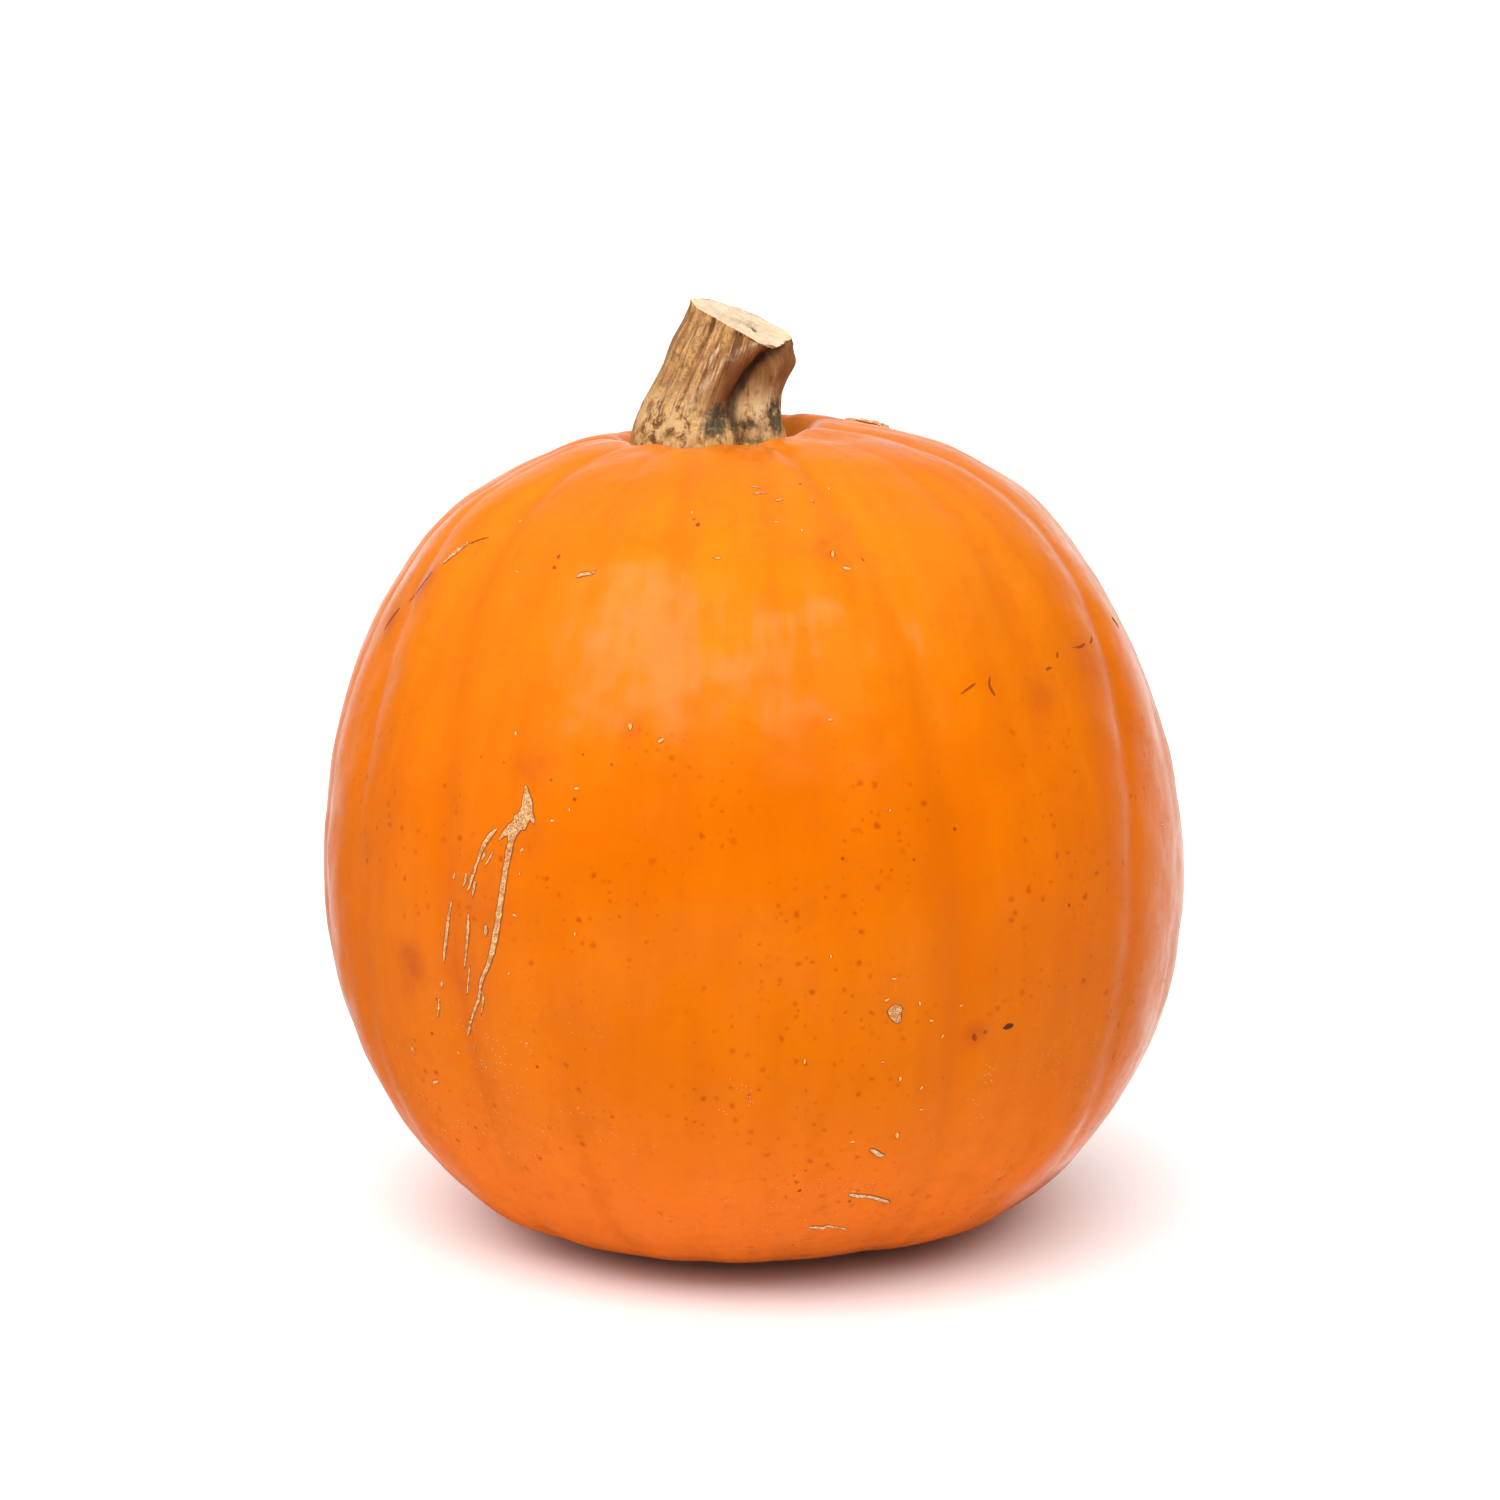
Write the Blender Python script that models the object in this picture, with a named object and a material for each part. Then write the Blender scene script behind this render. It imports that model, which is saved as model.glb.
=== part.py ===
"""A ripe pumpkin with its cut stem, standing on the flat spot under the fruit.

The fruit grew as one body. Its shallow grooves run from the stem, which sits a little to the left of
the middle and a little behind it, to the flat spot. The stem is a woody, five-ridged stalk that leans
over to the right and is cut off square at its top. Units are metres, +Z is up, -Y is the front.
"""

import math

import bmesh
import bpy
from mathutils import Matrix, Vector

# Fruit: its upright outline as (radius, height), from the middle of the flat spot to the stem's seat
FRUIT_OUTLINE = [
    (0.0000, 0.0000),
    (0.0110, 0.0000),
    (0.0220, 0.0000),
    (0.0365, 0.0007),
    (0.0517, 0.0026),
    (0.0632, 0.0065),
    (0.0718, 0.0120),
    (0.0798, 0.0205),
    (0.0883, 0.0335),
    (0.0959, 0.0510),
    (0.0996, 0.0710),
    (0.1000, 0.0860),
    (0.0987, 0.1020),
    (0.0948, 0.1190),
    (0.0885, 0.1360),
    (0.0795, 0.1525),
    (0.0683, 0.1660),
    (0.0545, 0.1745),
    (0.0420, 0.1784),
    (0.0320, 0.1797),
    (0.0250, 0.1795),
    (0.0185, 0.1760),
    (0.0090, 0.1760),
    (0.0000, 0.1760),
]
SEAT_HEIGHT = 0.176
SEAT_RADIUS = 0.0185
RINGS_PER_SPAN = 2

# Grooves around the axis from the flat spot to the stem: (azimuth in degrees from the front, depth)
GROOVES = [
    (-176, 0.0005),
    (-157, 0.0015),
    (-138, 0.0006),
    (-119, 0.0014),
    (-99, 0.0007),
    (-78, 0.0015),
    (-57, 0.0006),
    (-36, 0.0015),
    (-18, 0.0005),
    (-3, 0.0012),
    (12, 0.0007),
    (28, 0.0019),
    (44, 0.0006),
    (60, 0.0014),
    (78, 0.0007),
    (97, 0.0015),
    (116, 0.0005),
    (134, 0.0014),
    (152, 0.0007),
    (168, 0.0013),
]
COLUMNS_PER_GROOVE = 4
RIB_ROUNDNESS = 3
GROOVE_DEEPENS_ON_TOP = 0.6
FADE_AT_SEAT = 0.010

# The axis leaves the middle towards the stem's seat and the flat spot, (x, y) of each
TOP_AXIS = Vector((-0.0100, 0.0050))
REST_AXIS = Vector((-0.0060, 0.0020))
AXIS_PULL_RADIUS = 0.024

# The upper half leans to the left, and its lobes stand higher at the right and behind
WIDEST_HEIGHT = 0.086
LEAN_TO_LEFT = 0.022
HIGH_SIDE_AZIMUTH = math.radians(110)
HIGH_SIDE_RISE = 0.0060
HIGH_SIDE_NARROWS = 3
HIGH_SIDE_STEEPNESS = 5

# Stem: (height of the section's middle, half width, lean to the right) from its foot to its cut
STEM_GAP = 0.0003
STEM_SECTIONS = [
    (0.0000, 0.0183, 0.0000),
    (0.0055, 0.0182, 0.0000),
    (0.0110, 0.0170, 0.0003),
    (0.0170, 0.0163, 0.0018),
    (0.0240, 0.0154, 0.0048),
    (0.0322, 0.0125, 0.0080),
]
STEM_RINGS_PER_SPAN = 2
STEM_SIDES = 40
STEM_RIDGES = 5
STEM_RIDGE_AZIMUTH = math.radians(-8)
STEM_RIDGE_DEPTH = 0.10
STEM_TWIST = math.radians(16)
CUT_TILT_RIGHT = math.radians(21)
CUT_TILT_FRONT = math.radians(9)


def clear_scene():
    for thing in list(bpy.data.objects):
        bpy.data.objects.remove(thing, do_unlink=True)


def make_material(name, colour, roughness):
    material = bpy.data.materials.new(name)
    material.use_nodes = True
    shader = material.node_tree.nodes["Principled BSDF"]
    shader.inputs["Base Color"].default_value = (*colour, 1.0)
    shader.inputs["Roughness"].default_value = roughness
    shader.inputs["Metallic"].default_value = 0.0
    return material


def flowing(values, place):
    """The value at a place along a list, on a curve that never overshoots its points."""
    start = min(int(place), len(values) - 2)
    share = place - start
    steps = [after - before for before, after in zip(values, values[1:])]

    def slope(index):
        if index == 0 or index == len(steps):
            return steps[min(index, len(steps) - 1)]
        before, after = steps[index - 1], steps[index]
        return 2 * before * after / (before + after) if before * after > 0 else 0.0

    first = (1 + 2 * share) * (1 - share) ** 2 * values[start]
    second = share**2 * (3 - 2 * share) * values[start + 1]
    leaving = share * (1 - share) ** 2 * slope(start)
    arriving = share**2 * (share - 1) * slope(start + 1)
    return first + second + leaving + arriving


def outline_at(place):
    """Radius, height and outward normal of the fruit's outline, place counting its points."""
    radii = [radius for radius, _ in FRUIT_OUTLINE]
    heights = [height for _, height in FRUIT_OUTLINE]
    nudge = 0.05
    low, high = max(place - nudge, 0), min(place + nudge, len(radii) - 1)
    run = flowing(radii, high) - flowing(radii, low)
    climb = flowing(heights, high) - flowing(heights, low)
    normal = Vector((climb, -run)).normalized()
    return flowing(radii, place), flowing(heights, place), normal


def groove_at(column):
    """Azimuth of a column of points, and how deep the skin lies there below the rib's crest."""
    number, step = divmod(column, COLUMNS_PER_GROOVE)
    azimuth, depth = GROOVES[number % len(GROOVES)]
    next_azimuth, next_depth = GROOVES[(number + 1) % len(GROOVES)]
    if next_azimuth < azimuth:
        next_azimuth += 360
    share = step / COLUMNS_PER_GROOVE
    deepest = depth * (1 - share) + next_depth * share
    hollow = abs(math.cos(math.pi * share)) ** RIB_ROUNDNESS
    return math.radians(azimuth + share * (next_azimuth - azimuth)), deepest * hollow


def reach_to_outline(radius, offset, heading):
    """How far a round section's edge is along a heading, from a point at an offset from its middle."""
    along = offset.dot(heading)
    return math.sqrt(max(radius**2 - offset.length_squared + along**2, 0.0)) - along


def skin_point(column, place):
    """A point of the fruit's skin, by its column around the axis and its place on the outline."""
    radius, height, normal = outline_at(place)
    azimuth, groove = groove_at(column)
    heading = Vector((math.sin(azimuth), -math.cos(azimuth)))
    upward = min(height / SEAT_HEIGHT, 1.0)
    axis = REST_AXIS.lerp(TOP_AXIS, upward)
    beyond_seat = max(radius - SEAT_RADIUS, 0.0)
    offset = axis * (1 - math.exp(-((beyond_seat / AXIS_PULL_RADIUS) ** 2)))
    lean = LEAN_TO_LEFT * max(height - WIDEST_HEIGHT, 0.0)
    offset.x += lean * min(beyond_seat / AXIS_PULL_RADIUS, 1.0)
    reach = reach_to_outline(radius, offset, heading)
    if beyond_seat > 0 and height > 0:
        facing_up = max(normal.y, 0.0)
        fade = min(beyond_seat / FADE_AT_SEAT, 1.0)
        groove *= fade * (1 + GROOVE_DEEPENS_ON_TOP * facing_up**4)
        turn = (1 + math.cos(azimuth - HIGH_SIDE_AZIMUTH)) / 2
        rise = HIGH_SIDE_RISE * turn**HIGH_SIDE_NARROWS * facing_up**HIGH_SIDE_STEEPNESS
        height += rise * fade - groove * normal.y
        reach -= groove * normal.x
    spot = axis + heading * reach
    return Vector((spot.x, spot.y, max(height, 0.0)))


def make_fruit():
    """The fruit: a sphere's rings and columns, moved onto the outline and the grooves."""
    spans = len(FRUIT_OUTLINE) - 1
    rings = spans * RINGS_PER_SPAN
    columns = len(GROOVES) * COLUMNS_PER_GROOVE
    bm = bmesh.new()
    bmesh.ops.create_uvsphere(bm, u_segments=columns, v_segments=rings, radius=1.0)
    for vertex in bm.verts:
        polar = math.acos(max(-1.0, min(1.0, -vertex.co.z)))
        turn = math.atan2(vertex.co.x, -vertex.co.y) % math.tau
        place = round(polar / math.pi * rings) / RINGS_PER_SPAN
        column = round(turn / math.tau * columns) % columns
        vertex.co = skin_point(column, place)
    bmesh.ops.triangulate(bm, faces=bm.faces[:])
    bmesh.ops.recalc_face_normals(bm, faces=bm.faces[:])
    return bm


def stem_point(azimuth, place):
    """A point of the stem's bark, by its azimuth and its place on the sections."""
    height = flowing([section[0] for section in STEM_SECTIONS], place)
    half_width = flowing([section[1] for section in STEM_SECTIONS], place)
    lean = flowing([section[2] for section in STEM_SECTIONS], place)
    share = place / (len(STEM_SECTIONS) - 1)
    ridge = 0.5 + 0.5 * math.cos(STEM_RIDGES * (azimuth - STEM_RIDGE_AZIMUTH - STEM_TWIST * share))
    reach = half_width * (1 - STEM_RIDGE_DEPTH * (1 - ridge))
    spot = Vector((math.sin(azimuth) * reach, -math.cos(azimuth) * reach, 0.0))
    spot.rotate(Matrix.Rotation(CUT_TILT_RIGHT * share**2, 3, "Y"))
    spot.rotate(Matrix.Rotation(CUT_TILT_FRONT * share**2, 3, "X"))
    return spot + Vector((lean, 0.0, height))


def make_stem():
    """The stem: a round bar's rings, moved onto its sections, with a flat foot and a flat cut."""
    rings = (len(STEM_SECTIONS) - 1) * STEM_RINGS_PER_SPAN
    bm = bmesh.new()
    bmesh.ops.create_cone(
        bm, cap_ends=True, segments=STEM_SIDES, radius1=1.0, radius2=1.0, depth=rings
    )
    uprights = [edge for edge in bm.edges if abs(edge.verts[0].co.z - edge.verts[1].co.z) > 0.5]
    bmesh.ops.subdivide_edges(bm, edges=uprights, cuts=rings - 1, use_grid_fill=True)
    for vertex in bm.verts:
        place = round(vertex.co.z + rings / 2) / STEM_RINGS_PER_SPAN
        vertex.co = stem_point(math.atan2(vertex.co.x, -vertex.co.y), place)
    bmesh.ops.triangulate(bm, faces=bm.faces[:])
    bmesh.ops.recalc_face_normals(bm, faces=bm.faces[:])
    return bm


def add_part(collection, name, bm, location, material):
    mesh = bpy.data.meshes.new(name)
    bm.to_mesh(mesh)
    bm.free()
    mesh.shade_smooth()
    mesh.set_sharp_from_angle(angle=math.radians(50))
    mesh.materials.append(material)
    part = bpy.data.objects.new(name, mesh)
    part.location = location
    collection.objects.link(part)
    return part


def build():
    clear_scene()
    collection = bpy.data.collections.new("pumpkin")
    bpy.context.scene.collection.children.link(collection)
    rind = make_material("orange_rind", (0.86, 0.27, 0.015), 0.4)
    bark = make_material("dry_stem", (0.40, 0.25, 0.11), 0.8)
    add_part(collection, "fruit", make_fruit(), (0.0, 0.0, 0.0), rind)
    seat = (TOP_AXIS.x, TOP_AXIS.y, SEAT_HEIGHT + STEM_GAP)
    add_part(collection, "stem", make_stem(), seat, bark)


build()
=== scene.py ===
"""A ripe pumpkin with its dry stem: the finish of its rind, its cork scars and its stem."""

import math

import bpy
import numpy as np
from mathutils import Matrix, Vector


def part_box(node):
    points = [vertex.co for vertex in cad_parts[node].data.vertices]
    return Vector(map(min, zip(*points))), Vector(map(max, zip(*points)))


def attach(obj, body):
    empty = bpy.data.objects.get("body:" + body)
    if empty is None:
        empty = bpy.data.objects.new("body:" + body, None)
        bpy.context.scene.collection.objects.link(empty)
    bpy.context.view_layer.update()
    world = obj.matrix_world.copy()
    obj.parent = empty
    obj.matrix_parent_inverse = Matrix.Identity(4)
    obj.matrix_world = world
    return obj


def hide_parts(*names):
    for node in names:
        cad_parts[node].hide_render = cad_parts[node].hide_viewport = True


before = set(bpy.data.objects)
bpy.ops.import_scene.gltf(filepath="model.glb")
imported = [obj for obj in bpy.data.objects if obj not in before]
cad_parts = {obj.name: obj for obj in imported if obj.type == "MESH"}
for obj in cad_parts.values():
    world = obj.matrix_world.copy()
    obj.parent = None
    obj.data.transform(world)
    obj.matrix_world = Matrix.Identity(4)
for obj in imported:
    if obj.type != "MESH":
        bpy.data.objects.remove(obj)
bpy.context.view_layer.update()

# ------------------------------------------------------------------------------
# Rind. The fruit's smooth, waxy skin, grown over broad ribs with a faint groove down the middle
# of each. It dips in a seat round the stem and is flat where it stands, with the dry scar of the
# blossom in the middle of the flat spot.
# ------------------------------------------------------------------------------
MM = 0.001
fruit_low, fruit_high = (np.array(corner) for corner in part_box("fruit"))
stem_low, stem_high = (np.array(corner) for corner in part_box("stem"))
half_width = (fruit_high[0] - fruit_low[0]) / 2
stem_corners = np.array([corner.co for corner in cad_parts["stem"].data.vertices])
stem_foot = stem_corners[stem_corners[:, 2] < stem_low[2] + 0.1 * MM].mean(axis=0)

# The upright outline from the flat spot to the seat, (radius, height) as shares of half the width
RIND_OUTLINE = half_width * np.array([
    (0.000, 0.000), (0.110, 0.000), (0.220, 0.000), (0.365, 0.007), (0.517, 0.026), (0.632, 0.065),
    (0.718, 0.120), (0.798, 0.205), (0.883, 0.335), (0.957, 0.510), (0.994, 0.710), (1.000, 0.860),
    (0.986, 1.020), (0.948, 1.190), (0.885, 1.360), (0.795, 1.525), (0.683, 1.660), (0.545, 1.745),
    (0.420, 1.793), (0.320, 1.814), (0.255, 1.822), (0.205, 1.812), (0.170, 1.772), (0.000, 1.755),
])
OUTLINE_STEPS = 700
RIND_COLUMNS = 384
RIND_RINGS = 236
SEAT_RADIUS = 0.14 * half_width
SEAT_HEIGHT = 1.76 * half_width
# The height at which the fruit is widest
WIDEST = 0.86 * half_width

# The axis runs from the middle of the flat spot to the stem, and the upper half leans to the left
BOTTOM_AXIS = np.array([-0.060, 0.020]) * half_width
TOP_AXIS = stem_foot[:2]
AXIS_PULL = 0.24 * half_width
LEAN = 0.022

# The lobes stand higher on one side, folds run down into the seat, a shoulder swells beside it,
# and the foot is tucked up at the right front: azimuths and spreads in degrees
HIGH_SIDE = math.radians(110)
HIGH_SIDE_RISE = 3.8 * MM
FOLDS = 12
FOLD_HEIGHT = 0.42 * MM
SHOULDER_AZIMUTH, SHOULDER_SPREAD, SHOULDER_HEIGHT = 62, 25, 2.6 * MM
TUCK_AZIMUTH, TUCK_SPREAD, TUCK_HEIGHT = 23, 23, 1.3 * MM
# Swells of the skin: height, distance apart and seed
SWELLS = [(0.45 * MM, 52 * MM, 3), (0.14 * MM, 17 * MM, 5), (0.035 * MM, 6.5 * MM, 8)]

# Grooves: azimuth in degrees from the front at the flat spot, the widest part and the seat, and
# depth in millimetres
GROOVES = [
    (-176, -176, -176, 0.5), (-157, -157, -157, 1.5), (-138, -138, -137, 0.6), (-119, -118, -119, 1.3),
    (-99, -98, -99, 0.6), (-78, -77, -80, 1.4), (-57, -57, -62, 0.6), (-36, -36, -41, 1.4),
    (-18, -18, -19, 0.5), (-5, -3, -4, 1.0), (11, 12, 13, 0.6), (29, 29, 25, 1.8),
    (44, 43, 46, 0.5), (57, 56, 68, 1.2), (74, 73, 84, 0.7), (94, 93, 100, 1.4),
    (114, 113, 117, 0.6), (134, 134, 134, 1.4), (152, 153, 152, 0.7), (168, 168, 169, 1.3),
]
GROOVE_WANDER = 0.5
GROOVE_BREADTH = 5.5
CREASE_BREADTH = 1.5
CREASE_SHARE = 0.22
REDDENED_BREADTH = 2.2
DEEP_GROOVE = 1.4


def through(points, count):
    """Rows read from a smooth curve through the given points."""
    place = np.linspace(0, len(points) - 1, count)
    start = np.clip(place.astype(int), 0, len(points) - 2)
    share = (place - start)[:, None]
    padded = np.vstack([2 * points[0] - points[1], points, 2 * points[-1] - points[-2]])
    before, first, second, after = (padded[start + offset] for offset in range(4))
    return first + 0.5 * share * (
        second - before + share * (2 * before - 5 * first + 4 * second - after
                                   + share * (3 * (first - second) + after - before)))


def eased(values, spread):
    """Values with their kinks rounded over a spread counted in places."""
    reach = 4 * spread
    weights = np.exp(-0.5 * (np.arange(-reach, reach + 1) / spread) ** 2)
    return np.convolve(np.pad(values, reach, mode="edge"), weights / weights.sum(), mode="valid")


def mound(place, middle, spread):
    """1 at the middle, falling smoothly to nearly 0 at two spreads from it."""
    return np.exp(-(((place - middle) / spread) ** 2))


def apart(degrees, line):
    """The signed angle from a line to each azimuth, in degrees."""
    return (degrees - line + 180) % 360 - 180


def ripple(points, size, seed, waves=9):
    """Smooth unevenness about zero, mostly within 1, with swells about a size apart."""
    draw = np.random.default_rng(seed)
    total = np.zeros(np.shape(points)[:-1])
    for _ in range(waves):
        direction = draw.normal(size=3)
        pace = math.tau * draw.uniform(0.6, 1.5) / size / np.linalg.norm(direction)
        total += np.sin(points @ direction * pace + draw.uniform(0, math.tau))
    return total / math.sqrt(waves)


curve = through(RIND_OUTLINE, 2400)
climb = np.append(0, np.cumsum(np.hypot(*np.diff(curve, axis=0).T)))
steps = np.linspace(0, climb[-1], OUTLINE_STEPS)
outline_radius = eased(np.interp(steps, climb, curve[:, 0]), 5)
outline_radius[0], outline_radius[-1] = 0, 0
outline_height = np.maximum(eased(np.interp(steps, climb, curve[:, 1]), 5), 0)
outline_run, outline_rise = np.gradient(outline_radius), np.gradient(outline_height)
outline_slant = np.hypot(outline_run, outline_rise)


def groove_depth(azimuth, height):
    """How far the skin lies below the crest of its rib, and how near it is to a groove's crease."""
    up = (height / WIDEST - 1) / 0.95
    degrees = np.degrees(azimuth)
    depth = crease = np.zeros(np.broadcast_shapes(np.shape(up), np.shape(degrees)))
    for number, (foot, middle, top, millimetres) in enumerate(GROOVES):
        line = middle + (top - foot) / 2 * up + ((top + foot) / 2 - middle) * up**2
        line = line + GROOVE_WANDER * np.sin(height / (19 * MM) + 2.4 * number)
        off = np.abs(apart(degrees, line))
        shown = 1 + 0.25 * np.sin(height / (31 * MM) + 1.7 * number)
        broad, sharp = np.exp(-((off / GROOVE_BREADTH) ** 1.6)), mound(off, 0, CREASE_BREADTH)
        depth = depth + millimetres * MM * shown * ((1 - CREASE_SHARE) * broad + CREASE_SHARE * sharp)
        creased = shown * min(millimetres, DEEP_GROOVE) / DEEP_GROOVE
        crease = crease + creased * mound(off, 0, REDDENED_BREADTH)
    return depth, crease


def around_axis(azimuth, radius, height):
    """The axis beside each point of the skin, the way out from it and how far out the skin is."""
    share = np.clip(height / SEAT_HEIGHT, 0, 1)[..., None]
    axis = BOTTOM_AXIS * (1 - share) + TOP_AXIS * share
    beyond = np.maximum(radius - SEAT_RADIUS, 0)
    offset = axis * (1 - mound(beyond, 0, AXIS_PULL))[..., None]
    offset[..., 0] += LEAN * np.maximum(height - WIDEST, 0) * np.minimum(beyond / AXIS_PULL, 1)
    heading = np.stack([np.sin(azimuth), -np.cos(azimuth)], axis=-1)
    across = (offset * heading).sum(axis=-1)
    reach = np.sqrt(np.maximum(radius**2 - (offset**2).sum(axis=-1) + across**2, 0)) - across
    return axis, heading, reach


def lifted(azimuth, radius, height, upward, fade):
    """How far the high lobes, the folds, the shoulder and the tucked foot lift the skin."""
    degrees, beyond = np.degrees(azimuth), np.maximum(radius - SEAT_RADIUS, 0)
    turn = (1 + np.cos(azimuth - HIGH_SIDE)) / 2
    lobes = HIGH_SIDE_RISE * turn**3 * np.maximum(upward, 0) ** 5
    folds = (1 + np.cos(azimuth)) * np.cos(FOLDS * azimuth - 0.63) * mound(beyond, 0, 9 * MM)
    shoulder = mound(degrees, SHOULDER_AZIMUTH, SHOULDER_SPREAD) * mound(beyond, 0, 10 * MM)
    tucked = mound(degrees, TUCK_AZIMUTH, TUCK_SPREAD) * mound(height, 0, 13 * MM) * (upward < 0)
    tucked = tucked * np.clip((radius / half_width - 0.32) / 0.20, 0, 1)
    raised = lobes + FOLD_HEIGHT * folds + SHOULDER_HEIGHT * shoulder
    return raised * fade + TUCK_HEIGHT * tucked


def skin(azimuth, along, proud=0.0):
    """Points of the skin at an azimuth and a way up the outline, standing proud by a height."""
    azimuth, along = np.broadcast_arrays(azimuth, along)
    radius = np.interp(along, steps, outline_radius)
    height = np.interp(along, steps, outline_height)
    outward = np.interp(along, steps, outline_rise / outline_slant)
    upward = np.interp(along, steps, -outline_run / outline_slant)
    axis, heading, reach = around_axis(azimuth, radius, height)
    beyond = np.maximum(radius - SEAT_RADIUS, 0)
    standing = np.clip((height - 0.3 * MM) / (10 * MM), 0, 1)
    fade = np.minimum(beyond / (0.10 * half_width), 1) * standing
    groove_fade = np.minimum(beyond / (0.42 * half_width), 1) * standing
    groove_fade = groove_fade * (0.55 + 0.45 * np.clip(height / WIDEST, 0, 1))
    groove = groove_depth(azimuth, height)[0] * groove_fade
    height = height + lifted(azimuth, radius, height, upward, fade)
    rough = np.concatenate([axis + heading * reach[..., None], height[..., None]], axis=-1)
    swell = sum(rise * ripple(rough, size, seed) for rise, size, seed in SWELLS)
    normal = np.concatenate([heading * outward[..., None], upward[..., None]], axis=-1)
    points = rough + normal * (swell * fade - groove + proud)[..., None]
    points[..., 2] = np.maximum(points[..., 2], 0.02 * MM)
    return points


def tube_sides(rings, columns):
    """Faces between the rings of a tube, and their corners' places counted in columns and rings."""
    ring, column = np.meshgrid(np.arange(rings - 1), np.arange(columns), indexing="ij")
    ring, column = ring.ravel(), column.ravel()
    after = (column + 1) % columns
    faces = [ring * columns + column, ring * columns + after,
             (ring + 1) * columns + after, (ring + 1) * columns + column]
    spots = [(column, ring), (column + 1, ring), (column + 1, ring + 1), (column, ring + 1)]
    return np.stack(faces, axis=1), np.stack([np.stack(spot, axis=1) for spot in spots], axis=1)


def tube_end(end, tip, columns, order):
    """The fan of faces from a ring to the tip that closes it, and their corners' places."""
    near, far = np.arange(columns), (np.arange(columns) + 1) % columns
    fan = np.stack([np.full(columns, tip), end * columns + far, end * columns + near], axis=1)
    spots = [np.stack([x, np.full(columns, end)], axis=1) for x in (near + 0.5, near + 1, near)]
    return fan[:, ::order], np.stack(spots, axis=1)[:, ::order]


def corner_values(grid):
    """The values of a tube's corners: those of its grid, then the mean of each end's ring."""
    tips = [ring.mean(axis=0).reshape(1, -1) for ring in (grid[0], grid[-1])]
    return np.concatenate([grid.reshape(grid.shape[0] * grid.shape[1], -1), *tips])


def add_tube(name, grids, facts, patches):
    """A piece made of closed tubes: grids of rings of points, each end closed by a fan.

    Facts are values of each point, one grid of them per tube; patches are (corner, size) of each
    tube's place on the piece's flat map.
    """
    corners, faces, spots = [], [], []
    for grid, (patch_corner, patch_size) in zip(grids, patches):
        rings, columns = grid.shape[:2]
        base = sum(map(len, corners))
        corners.append(corner_values(grid))
        for part, spot in (tube_sides(rings, columns), tube_end(0, rings * columns, columns, 1),
                           tube_end(rings - 1, rings * columns + 1, columns, -1)):
            faces += (base + part).tolist()
            spot = np.array(patch_corner) + np.array(patch_size) * spot / [columns, rings - 1]
            spots.append(spot.reshape(-1, 2))
    mesh = bpy.data.meshes.new(name)
    mesh.from_pydata(np.vstack(corners).tolist(), [], faces)
    mesh.uv_layers.new(name="OFBake").data.foreach_set("uv", np.vstack(spots).ravel())
    for fact, values in facts.items():
        flat = np.concatenate([corner_values(value) for value in values])
        kind, field = ("FLOAT", "value") if flat.shape[1] == 1 else ("FLOAT_VECTOR", "vector")
        mesh.attributes.new(fact, kind, "POINT").data.foreach_set(field, flat.ravel())
    mesh.shade_smooth()
    piece = bpy.data.objects.new(name, mesh)
    bpy.context.scene.collection.objects.link(piece)
    return piece


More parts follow.
